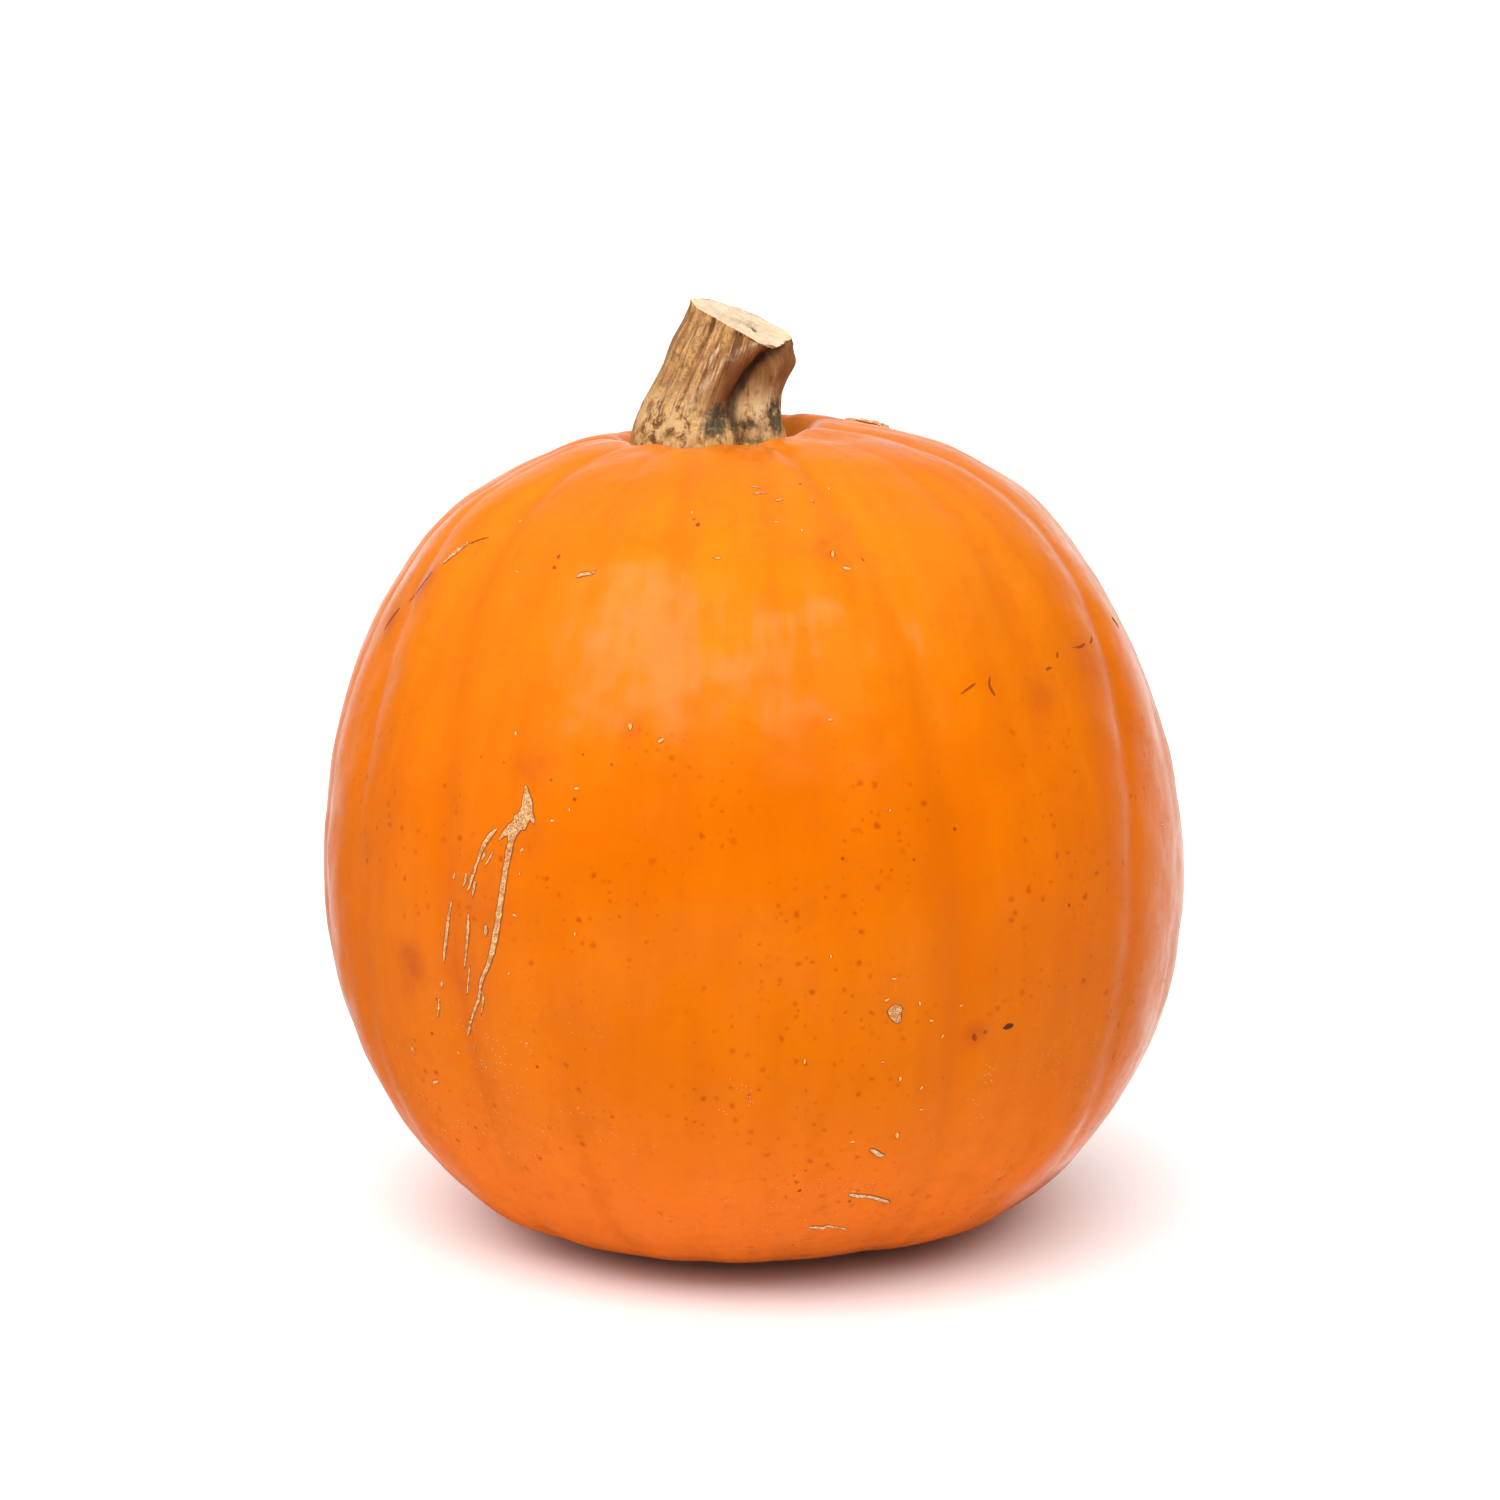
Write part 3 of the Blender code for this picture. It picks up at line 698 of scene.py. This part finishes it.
spot_shades = [0.25 + 0.85 * half for _, _, half in DARK_SPOTS]
add_scars("rub_scar", [line_path(line) for line in RUB_SCAR], 0.30 * MM, 0.0, 1)
add_scars("cork_lines", [line_path(line) for line in CORK_LINES], 0.28 * MM, 0.1, 1)
add_scars("cork_spots", spot_paths(CORK_SPOTS), 0.10 * MM, -0.5, 4)
add_scars("dark_spots", spot_paths(DARK_SPOTS), 0.06 * MM, spot_shades, 3)
add_scars("dark_lines", [line_path(line) for line in DARK_LINES], 0.06 * MM, 0.60, 1)
add_scars("wart", [line_path(WART)], 1.2 * MM, -1.0, 1)

# ------------------------------------------------------------------------------
# Stem. A dry, woody, ridged stalk grown on to the fruit at a flared foot. It leans over to the
# right, has a deep hollow down its right front, and was cut off square, which shows cream flesh.
# ------------------------------------------------------------------------------
STEM_COLUMNS = 320
STEM_RINGS = 200
CUT_RINGS = 34
STEM_HEIGHT = stem_high[2] - stem_low[2]
# Height above the foot, half width and lean of the sections, as shares of the stem's height
STEM_SECTIONS = STEM_HEIGHT * np.array([
    (-0.020, 0.505, 0.000), (0.100, 0.505, 0.000), (0.200, 0.490, 0.004), (0.330, 0.454, 0.022),
    (0.480, 0.404, 0.064), (0.660, 0.383, 0.126), (0.790, 0.347, 0.168), (0.876, 0.336, 0.188),
])
# Hollows, each at five stations from the foot to the cut: azimuth in degrees, depth as a share of
# the half width, and breadth in degrees on its left and on its right
DEEP_HOLLOW = np.array([
    (30, 0.20, 15, 10), (28, 0.28, 16, 10), (18, 0.33, 17, 11), (38, 0.34, 20, 10), (72, 0.08, 18, 10),
], float)
SHALLOW_HOLLOWS = np.array([
    [(-40, 0.05, 9, 9), (-40, 0.06, 9, 9), (-38, 0.05, 9, 9), (-34, 0.04, 9, 9), (-30, 0.03, 9, 9)],
    [(-66, 0.04, 7, 7), (-64, 0.06, 7, 7), (-60, 0.06, 7, 7), (-56, 0.05, 7, 7), (-50, 0.04, 7, 7)],
    [(85, 0.00, 16, 20), (86, 0.08, 16, 20), (88, 0.10, 16, 20), (92, 0.02, 16, 20), (95, 0.0, 16, 20)],
    [(130, .12, 15, 15), (130, .18, 15, 15), (132, .19, 15, 15), (134, .15, 15, 15), (136, .09, 15, 15)],
    [(186, .10, 15, 15), (186, .16, 16, 16), (188, .17, 16, 16), (190, .14, 15, 15), (192, .08, 15, 15)],
    [(240, .10, 14, 14), (240, .14, 15, 15), (242, .15, 15, 15), (245, .11, 14, 14), (246, .07, 14, 14)],
], float)
# Patches of mould: azimuth in degrees, way up the stem from 0 to 1, breadth, reach up and strength
MOULD = [
    (3, 0.38, 13, 0.15, 1.0), (56, 0.42, 13, 0.17, 1.0), (30, 0.36, 9, 0.06, 0.8),
    (38, 0.22, 10, 0.06, 0.8), (-36, 0.26, 9, 0.06, 0.6), (118, 0.34, 20, 0.16, 0.9),
    (176, 0.32, 22, 0.20, 0.9), (-128, 0.30, 20, 0.12, 0.8),
]
GRAIN_RADIUS = 17 * MM
GRAIN_LENGTH = 5 * MM
SWELLING = 0.9 * MM
CUT_TILT_RIGHT = math.radians(21)
CUT_TILT_FRONT = math.radians(9)
CUT_DISH = 0.5 * MM
CUT_SLIP = 1.6 * MM
PITH = (0.28, -0.08)
PITH_DEPTH = 1.3 * MM


def turned(points, axis, angle):
    """Points turned about the x axis, 0, or the y axis, 1, by an angle."""
    first, second = ((1, 2), (2, 0))[axis]
    moved = points.copy()
    moved[..., first] = points[..., first] * np.cos(angle) - points[..., second] * np.sin(angle)
    moved[..., second] = points[..., first] * np.sin(angle) + points[..., second] * np.cos(angle)
    return moved


def up_the_stem(stations):
    """Each column of the stations at every ring of the stem, and unchanged over the cut's rings."""
    rings = through(stations, STEM_RINGS)
    rings = np.vstack([rings, np.repeat(rings[-1:], CUT_RINGS, axis=0)])
    return (column[:, None] for column in rings.T)


def hollowed(degrees, stations):
    """The depth of a hollow round each ring of the stem, as a share of the half width."""
    line, depth, left, right = up_the_stem(stations)
    off = apart(degrees, line)
    return depth * np.exp(-((np.abs(off) / np.where(off < 0, left, right)) ** 1.7))


def bark_reach(degrees, along, half, deep, grain, ridges, fibres):
    """How far the bark stands from the middle: hollows, ridges, the knob, the foot and the lip."""
    hollow = deep + sum(hollowed(degrees, stations) for stations in SHALLOW_HOLLOWS)
    smooth_rim = 1 - 0.7 * mound(along, 1, 0.03)
    knob = mound(along, 0.76, 0.065) * mound(apart(degrees, 84), 0, 13)
    spread = mound(along, 0, 0.09) * (1 - 2 * deep)
    lip = mound(along, 1, 0.035) * mound(apart(degrees, 36), 0, 30)
    ragged = 0.12 * MM * ripple(grain, 1.1 * MM, 17, 10) * mound(along, 1, 0.02)
    reach = half * (1 - hollow) + (ridges + 0.07 * MM * fibres) * smooth_rim
    return reach + SWELLING * (knob + spread + lip) + ragged


def cut_across(degrees, along, inward, half, reach):
    """Points of the upright stem at one height, dished and holed where it is cut, and the pith."""
    azimuth = np.radians(degrees)
    across, back = np.sin(azimuth) * reach, -np.cos(azimuth) * reach
    slipped = CUT_SLIP * mound(degrees, 34, 30) * inward**2 * np.clip(10 * along - 9, 0, 1)
    spot = np.stack([across, back, -slipped], axis=-1)
    from_pith = (across / half - PITH[0]) ** 2 + ((back / half - PITH[1]) / 2) ** 2
    pith = np.exp(-from_pith / 0.010)
    dished = 0.30 * MM * ripple(spot, 5 * MM, 21) + 0.09 * MM * ripple(spot, 1.2 * MM, 22)
    dished -= CUT_DISH * (1 - inward**2) + PITH_DEPTH * pith
    spot[..., 2] += np.where(inward < 1, dished, 0)
    return spot, pith * (inward < 1)


def bark_facts(degrees, along, deep):
    """Where the bark is mouldy, brown with painted shade on the hollow's wall and right side, fraying
    with a painted highlight along the ridge crest, and pale, from its place beside the deep hollow.
    """
    mould = sum(strength * mound(apart(degrees, line), 0, breadth) * mound(along, way, tall)
                for line, way, breadth, tall, strength in MOULD)
    valley, *_ = up_the_stem(DEEP_HOLLOW)
    beside = apart(degrees, valley)
    # The brown mask is brown bark deepened by painted shade on the hollow's wall and the right side, and
    # browner bark at the left edge
    wall = mound(beside, -15, 17) * np.clip((along - 0.34) / 0.15, 0, 1)
    painted_shade_side = mound(beside, 22, 24) * np.clip((along - 0.42) / 0.22, 0, 1)
    left_edge = 0.7 * mound(apart(degrees, -92), 0, 15)
    # A thin line along the ridge crest: pale fraying fibres and a painted highlight
    fraying_and_painted_highlight = mound(beside, -38, 4) * np.clip((along - 0.42) / 0.15, 0, 1)
    lobe = mound(beside, 26, 16) * np.clip((0.66 - along) / 0.20, 0, 1)
    brown = np.maximum(np.maximum(wall, painted_shade_side), left_edge)
    return {"along": along, "deep": deep / 0.30, "mould": mould, "brown": brown, "fraying_and_painted_highlight": fraying_and_painted_highlight,
            "lobe": lobe}


def stem_grid():
    """Rings of points up the bark and over the cut, with what the finish needs to know of each."""
    azimuth = np.linspace(-math.pi, math.pi, STEM_COLUMNS, endpoint=False)[None, :]
    along = np.append(np.linspace(0, 1, STEM_RINGS), np.ones(CUT_RINGS))[:, None]
    inward = np.append(np.ones(STEM_RINGS), np.linspace(0.985, 0.02, CUT_RINGS))[:, None]
    azimuth, along, inward = np.broadcast_arrays(azimuth, along, inward)
    degrees = np.degrees(azimuth)
    height, half, lean = up_the_stem(STEM_SECTIONS)
    deep = hollowed(degrees, DEEP_HOLLOW)
    grain = np.stack([np.sin(azimuth) * GRAIN_RADIUS, -np.cos(azimuth) * GRAIN_RADIUS,
                      along * GRAIN_LENGTH], axis=-1)
    ridges = 0.32 * MM * ripple(grain, 3.6 * MM, 11, 12) + 0.15 * MM * ripple(grain, 1.5 * MM, 12, 12)
    fibres = ripple(grain, 0.75 * MM, 13, 14)

    reach = bark_reach(degrees, along, half, deep, grain, ridges, fibres) * inward
    spot, pith = cut_across(degrees, along, inward, half, reach)
    spot = turned(turned(spot, 1, CUT_TILT_RIGHT * along**2), 0, CUT_TILT_FRONT * along**2)
    points = spot + np.stack(np.broadcast_arrays(lean, 0, height), axis=-1) + stem_foot
    facts = {**bark_facts(degrees, along, deep), "cut": 1.0 * (inward < 0.99), "pith": pith,
             "grain": grain, "fibre": fibres, "ridge": ridges / MM}
    return points, {name: [values] for name, values in facts.items()}


# Colours of the stem, in pairs where it is mottled from one to the other
BARK = (0.27, 0.12, 0.034), (0.5, 0.27, 0.098)
BLOTCHED_BARK = (0.19, 0.082, 0.026)
OCHRE_BARK = (0.56, 0.3, 0.085)
BANDED_BARK = (0.3, 0.13, 0.03)
STREAKED_BARK = (0.12, 0.046, 0.013)
SPECKLED_BARK = (0.15, 0.062, 0.018)
HAIRLINE = (0.13, 0.05, 0.015)
BLEACHED_BARK = (0.64, 0.48, 0.3)
PALE_FOOT = (0.62, 0.4, 0.175)
# Brown bark, deepened as painted shade on the hollow's wall and right side
BROWN_BARK_AND_PAINTED_SHADE = (0.18, 0.06, 0.014)
# Pale fraying fibres, partly a painted highlight along the ridge crest
PALE_FIBRE_AND_PAINTED_HIGHLIGHT = (0.6, 0.45, 0.3)
# Painted shade where the fibres sink
PAINTED_SHADE_BETWEEN_FIBRES = (0.11, 0.045, 0.014)
HOLLOW_SHADE = (0.045, 0.016, 0.006)
PALE_LOBE = (0.64, 0.45, 0.23)
MOULD_GREEN = (0.04, 0.04, 0.023)
YELLOWED_FOOT = (0.4, 0.24, 0.03)
FLESH = (0.57, 0.41, 0.26), (0.66, 0.51, 0.35)
FLESH_DOT = (0.3, 0.18, 0.08)
PITH_HOLE = (0.04, 0.028, 0.016)


def fibrous_bark(place, drawn, streak, hair, patch, blotch):
    """Tan to brown bark, in streaks and hairlines along the grain and in blotches across it."""
    colour = (0.6 * streak + 0.4 * patch).step(0.42, 0.58).paint(*BARK)
    colour = (blotch.step(0.52, 0.60) * 0.6).paint(colour, BLOTCHED_BARK)
    colour = (place.noise(4 * MM).step(0.54, 0.62) * 0.6).paint(colour, OCHRE_BARK)
    banded = 0.6 * drawn.noise(6 * MM, 2.0) + 0.4 * blotch
    colour = (banded.step(0.48, 0.58) * 0.65).paint(colour, BANDED_BARK)
    colour = (streak.step(0.46, 0.36) * 0.85).paint(colour, STREAKED_BARK)
    speckle = place.noise(0.55 * MM, 3.0, 0.7)
    colour = (speckle.step(0.52, 0.38) * 0.45).paint(colour, SPECKLED_BARK)
    colour = (hair.step(0.46, 0.34) * patch.step(0.42, 0.58) * 0.75).paint(colour, HAIRLINE)
    bleached = (hair + 0.10 * place.fact("ridge")).step(0.56, 0.70) * patch.step(0.56, 0.44)
    return (bleached * 0.65).paint(colour, BLEACHED_BARK)


def aged_bark(colour, place, hair, patch, blotch):
    """A colour with the pale foot, brown walls with painted shade, a fraying ridge with a painted
    highlight, painted shade in the hollow and between the fibres, and mould over it.
    """
    along, lobe = place.fact("along"), place.fact("lobe")
    pale_foot = along.step(0.66, 0.34) * (blotch + 0.3 * patch).step(0.56, 0.70)
    colour = (pale_foot * 0.85).paint(colour, PALE_FOOT)
    # Brown bark, with painted shade on the hollow's wall and right side
    brown = place.fact("brown") * (0.78 + 0.22 * blotch.step(0.6, 0.4))
    colour = brown.paint(colour, BROWN_BARK_AND_PAINTED_SHADE)
    # Pale fraying fibres with a painted highlight along the ridge crest
    fraying_and_painted_highlight = place.fact("fraying_and_painted_highlight") * (0.5 * hair + 0.5 * blotch).step(0.44, 0.58)
    colour = (fraying_and_painted_highlight * 0.60).paint(colour, PALE_FIBRE_AND_PAINTED_HIGHLIGHT)
    # Painted shade in the recesses between the fibres
    colour = (place.fact("fibre").step(-0.7, -1.5) * 0.5).paint(colour, PAINTED_SHADE_BETWEEN_FIBRES)
    colour = (place.fact("deep").step(0.66, 1.05) * 0.90).paint(colour, HOLLOW_SHADE)
    colour = (lobe * (blotch + 0.3 * patch).step(0.50, 0.62) * 0.8).paint(colour, PALE_LOBE)
    mouldy = place.fact("mould") * (2.4 * place.noise(1.5 * MM, 4.0, 0.7) - 0.35)
    colour = (mouldy.step(0.25, 0.75) * 0.88).paint(colour, MOULD_GREEN)
    yellowed = along.step(0.32, 0.24) * place.noise(3 * MM).step(0.50, 0.62)
    return (yellowed * 0.45).paint(colour, YELLOWED_FOOT)


def cut_flesh(place, patch, blotch):
    """Cream flesh with fine darker dots, and the dark hole of the pith."""
    colour = (0.6 * blotch + 0.4 * patch).step(0.36, 0.62).paint(*FLESH)
    colour = (place.cells(0.8 * MM).step(0.22, 0.08) * 0.20).paint(colour, FLESH_DOT)
    return place.fact("pith").step(0.25, 0.75).paint(colour, PITH_HOLE)


def stem_finish():
    """Dry stem bark with fibres, a dark hollow and mould at the foot, and a cream cut."""
    material, shader, place = new_finish("stem", {"Specular IOR Level": 0.25})
    grain = place.fact("grain", "Vector")
    drawn = grain.scaled((1.0, 1.0, 0.8))
    streak, hair = drawn.noise(3.2 * MM), drawn.noise(0.8 * MM, 3.0, 0.65)
    patch, blotch = place.noise(6.5 * MM), place.noise(2.4 * MM, 4.0, 0.65)
    bark = fibrous_bark(place, drawn, streak, hair, patch, blotch)
    bark = aged_bark(bark, place, hair, patch, blotch)
    colour = place.fact("cut").step(0.3, 0.7).paint(bark, cut_flesh(place, patch, blotch))
    relief = streak + hair * 0.9 + blotch * 0.6 + grain.noise(0.35 * MM, 3.0, 0.7) * 0.5
    bump = place.node("ShaderNodeBump", {}, {"Height": relief, "Distance": 0.40 * MM, "Strength": 0.8})
    plug(shader, {"Base Color": colour, "Roughness": 0.66 + 0.25 * blotch, "Normal": bump})
    return material


stem_points, stem_facts = stem_grid()
stem = add_tube("stalk", [stem_points], stem_facts, [((0.0, 0.0), (1.0, 1.0))])
stem.data.materials.append(stem_finish())
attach(stem, "root")
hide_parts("stem")

# ------------------------------------------------------------------------------
# Studio. A plain white floor that runs out of sight, white surroundings that light the fruit most
# from above and show in its gloss only from behind, and one broad soft lamp high in front.
# ------------------------------------------------------------------------------
FLOOR_SIDE = 14.0
SURROUNDINGS = 1.05
DARK_ROOM = 0.02
BACK_GLOW = 1.35
LOW_LIGHT = 0.02
OVERHEAD = 1.84
LAMP_PLACE = (-0.20, -0.92, 1.30)
LAMP_WIDTH, LAMP_DEPTH = 2.4, 0.82
LAMP_RADIANCE = 3.5

floor_mesh = bpy.data.meshes.new("floor")
side = FLOOR_SIDE / 2
floor_corners = [(-side, -side, 0), (side, -side, 0), (side, side, 0), (-side, side, 0)]
floor_mesh.from_pydata(floor_corners, [], [(0, 1, 2, 3)])
floor = bpy.data.objects.new("floor", floor_mesh)
bpy.context.scene.collection.objects.link(floor)
floor_look, _, _ = new_finish("floor", {"Base Color": (0.85, 0.85, 0.85, 1), "Roughness": 0.8,
                                        "Specular IOR Level": 0.1})
floor_mesh.materials.append(floor_look)
floor.visible_glossy = False

world = bpy.data.worlds.new("surroundings")
world.use_nodes = True
bpy.context.scene.world = world
background = world.node_tree.nodes["Background"]
background.inputs["Color"].default_value = (1, 1, 1, 1)
sky = Wire(background.outputs[0])
direction = sky.node("ShaderNodeTexCoord", {}, {}, "Generated")
sideways, toward_back, upward = (direction.part(axis) for axis in "XYZ")
in_gloss = sky.node("ShaderNodeLightPath", {}, {}, "Is Glossy Ray")
scattered = sky.node("ShaderNodeLightPath", {}, {}, "Is Diffuse Ray")
# The glow behind the fruit reaches further round on the right, and stops short of the floor
above_floor = (upward + 3.3 * sideways * sideways).step(-0.32, -0.17)
behind = (toward_back + 0.17 * sideways).step(0.55, 0.98)
glow = behind * above_floor * (1 - 0.7 * upward.step(0.0, 0.45))
mirrored = DARK_ROOM + glow * (BACK_GLOW - DARK_ROOM)
from_above = LOW_LIGHT + (upward - 0.14 * sideways).step(0.12, 0.75) * (OVERHEAD - LOW_LIGHT)
strength = (SURROUNDINGS + (mirrored - SURROUNDINGS) * in_gloss
            + (from_above - SURROUNDINGS) * scattered)
plug(background, {"Strength": strength})

lamp = bpy.data.lights.new("front_lamp", "AREA")
lamp.shape, lamp.size, lamp.size_y = "RECTANGLE", LAMP_WIDTH, LAMP_DEPTH
lamp.energy = LAMP_RADIANCE * math.pi * LAMP_WIDTH * LAMP_DEPTH
lamp_holder = bpy.data.objects.new("front_lamp", lamp)
lamp_holder.location = LAMP_PLACE
aim = np.array([0, 0, fruit_high[2] / 2]) - LAMP_PLACE
lamp_dip = math.acos(-aim[2] / np.linalg.norm(aim))
lamp_holder.rotation_euler = (lamp_dip, 0, math.atan2(-aim[0], aim[1]))
lamp_holder.visible_camera = False
bpy.context.scene.collection.objects.link(lamp_holder)

# ------------------------------------------------------------------------------
# Camera, a little above the fruit and in front of it.
# ------------------------------------------------------------------------------
CAMERA_ASIDE = -0.011 * half_width
CAMERA_DISTANCE = 7.0 * half_width
CAMERA_HEIGHT = 2.35 * half_width
CAMERA_DIP = math.radians(10.17)
camera_data = bpy.data.cameras.new("camera")
camera_data.sensor_width = 36.0
camera_data.lens = 73.3
camera = bpy.data.objects.new("camera", camera_data)
camera.location = (CAMERA_ASIDE, -CAMERA_DISTANCE, CAMERA_HEIGHT)
camera.rotation_euler = (math.pi / 2 - CAMERA_DIP, 0, 0)
bpy.context.scene.collection.objects.link(camera)
bpy.context.scene.camera = camera
bpy.context.scene.view_settings.view_transform = "Standard"
